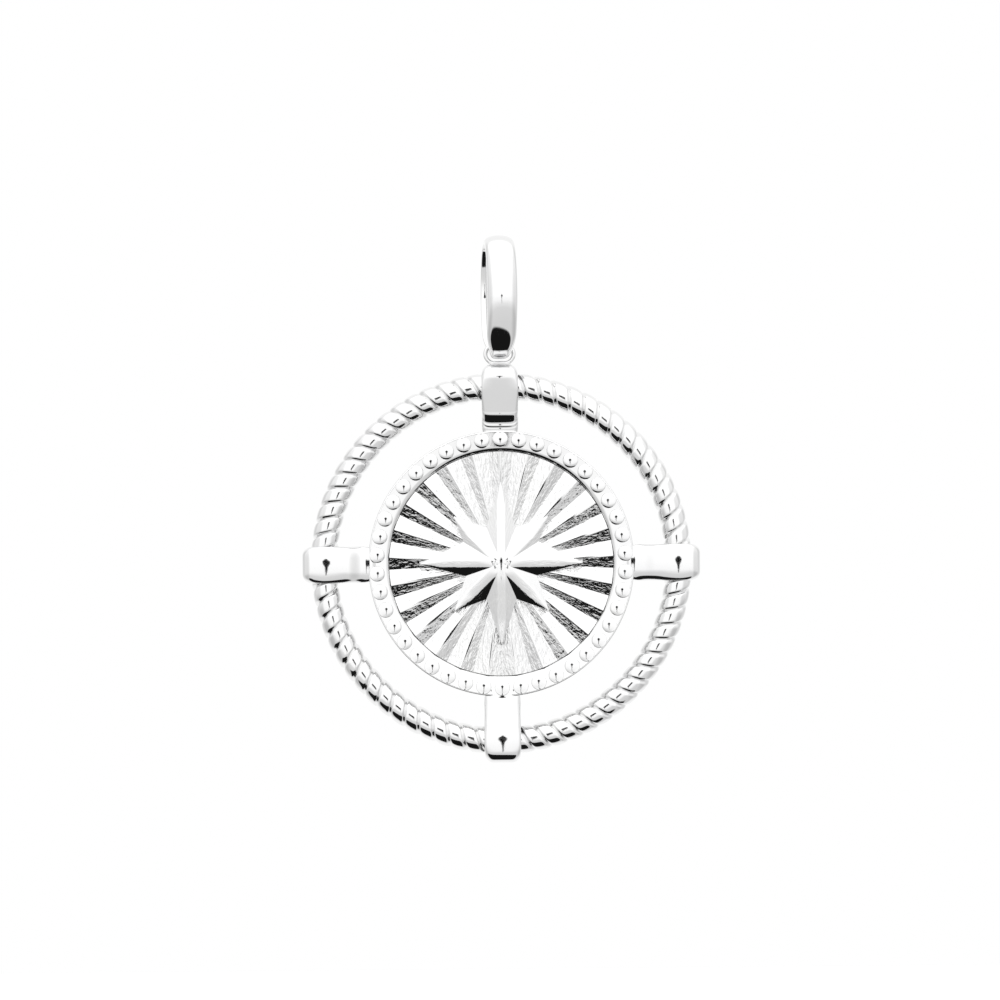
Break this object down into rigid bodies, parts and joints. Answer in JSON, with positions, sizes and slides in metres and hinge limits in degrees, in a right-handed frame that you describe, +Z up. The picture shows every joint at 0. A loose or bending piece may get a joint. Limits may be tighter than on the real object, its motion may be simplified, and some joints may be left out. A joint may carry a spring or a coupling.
{
  "type": "pendant",
  "caption": "Round silver-toned pendant: a raised eight-pointed star on a fluted disc in a beaded rim, held by straps inside a ring of rope wire, hanging on an oval bail.",
  "frame": {"origin": "inside top of the bail, where a chain carries the pendant", "axes": "+Z up as the pendant hangs, +X right as seen from the front, the front faces -Y"},
  "size_m": [0.02, 0.0034, 0.0265],
  "materials": {
    "polished_silver": "rhodium-plated sterling silver, cast and mirror polished",
    "cut_silver": "rhodium-plated sterling silver, flutes cut with a turning tool, star polished",
    "rope_silver": "rhodium-plated sterling silver wire, twisted and polished"
  },
  "bodies": {
    "bail": {"bail": "polished_silver"},
    "pendant": {"bezel_frame": "polished_silver", "star_disc": "cut_silver", "rope_ring": "rope_silver"}
  },
  "joints": [
    {"name": "pendant_swing", "type": "hinge", "parent": "bail", "child": "pendant", "pos_m": [0, 0, -0.00503], "axis": [1, 0, 0], "range_deg": [-35, 35]}
  ]
}
